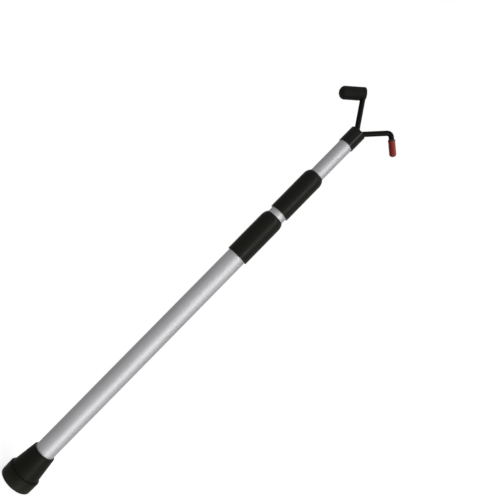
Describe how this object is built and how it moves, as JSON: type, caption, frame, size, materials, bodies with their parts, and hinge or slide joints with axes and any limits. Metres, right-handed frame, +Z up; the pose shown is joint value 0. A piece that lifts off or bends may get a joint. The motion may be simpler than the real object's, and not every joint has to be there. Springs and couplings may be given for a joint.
{
  "type": "telescopic support pole",
  "caption": "Three-stage twist-lock telescopic pole with a rubber foot and a forked head that has one padded and one capped prong.",
  "frame": {"origin": "centre of the foot's sole, where the pole stands on the floor", "axes": "+Z up the pole towards the forked head; +X from the pole towards the capped prong, -X towards the padded prong; -Y is the side that the picture shows"},
  "size_m": [0.1212, 0.0464, 0.6981],
  "materials": {
    "anodised_aluminium": "satin clear anodised",
    "black_rubber": "matt moulded rubber",
    "black_collar": "satin moulded plastic",
    "black_socket": "semi-gloss moulded plastic",
    "black_coating": "semi-gloss dipped vinyl",
    "red_vinyl": "soft semi-gloss vinyl",
    "natural_nylon": "moulded nylon",
    "plated_steel": "zinc-plated steel"
  },
  "bodies": {
    "base": {"foot_ferrule": "black_rubber", "foot_washer": "plated_steel", "outer_tube": "anodised_aluminium", "outer_collar": "black_collar", "outer_guide_ring": "natural_nylon"},
    "mid_ring": {"mid_drag_ring": "natural_nylon"},
    "mid_section": {"mid_tube": "anodised_aluminium", "mid_plug": "natural_nylon", "mid_plug_pin": "plated_steel", "mid_cam_screw": "plated_steel", "mid_cam_washer": "plated_steel", "mid_collar": "black_collar", "mid_guide_ring": "natural_nylon"},
    "mid_lock": {"mid_cam": "natural_nylon"},
    "inner_ring": {"inner_drag_ring": "natural_nylon"},
    "inner_section": {"inner_tube": "anodised_aluminium", "inner_plug": "natural_nylon", "inner_plug_pin": "plated_steel", "inner_cam_screw": "plated_steel", "inner_cam_washer": "plated_steel", "head_socket": "black_socket", "head_rivet": "plated_steel", "fork_rod": "plated_steel", "fork_coating": "black_coating", "prong_pad": "black_rubber", "prong_cap": "red_vinyl"},
    "inner_lock": {"inner_cam": "natural_nylon"}
  },
  "joints": [
    {"name": "mid_slide", "type": "slide", "parent": "base", "child": "mid_ring", "axis": [0, 0, 1], "range_m": [0, 0.4266]},
    {"name": "mid_twist", "type": "hinge", "parent": "mid_ring", "child": "mid_section", "pos_m": [0, 0, 0.034], "axis": [0, 0, 1], "range_deg": [-90, 90]},
    {"name": "mid_cam_turn", "type": "hinge", "parent": "mid_section", "child": "mid_lock", "pos_m": [0.0006, 0, 0.022], "axis": [0, 0, 1], "range_deg": [-90, 90]},
    {"name": "inner_slide", "type": "slide", "parent": "mid_section", "child": "inner_ring", "axis": [0, 0, 1], "range_m": [0, 0.4516]},
    {"name": "inner_twist", "type": "hinge", "parent": "inner_ring", "child": "inner_section", "pos_m": [0, 0, 0.091], "axis": [0, 0, 1], "range_deg": [-90, 90]},
    {"name": "inner_cam_turn", "type": "hinge", "parent": "inner_section", "child": "inner_lock", "pos_m": [0.0006, 0, 0.079], "axis": [0, 0, 1], "range_deg": [-90, 90]}
  ],
  "couplings": [
    {"joint": "mid_cam_turn", "follows": "mid_twist", "ratio": -1},
    {"joint": "inner_cam_turn", "follows": "inner_twist", "ratio": -1}
  ]
}
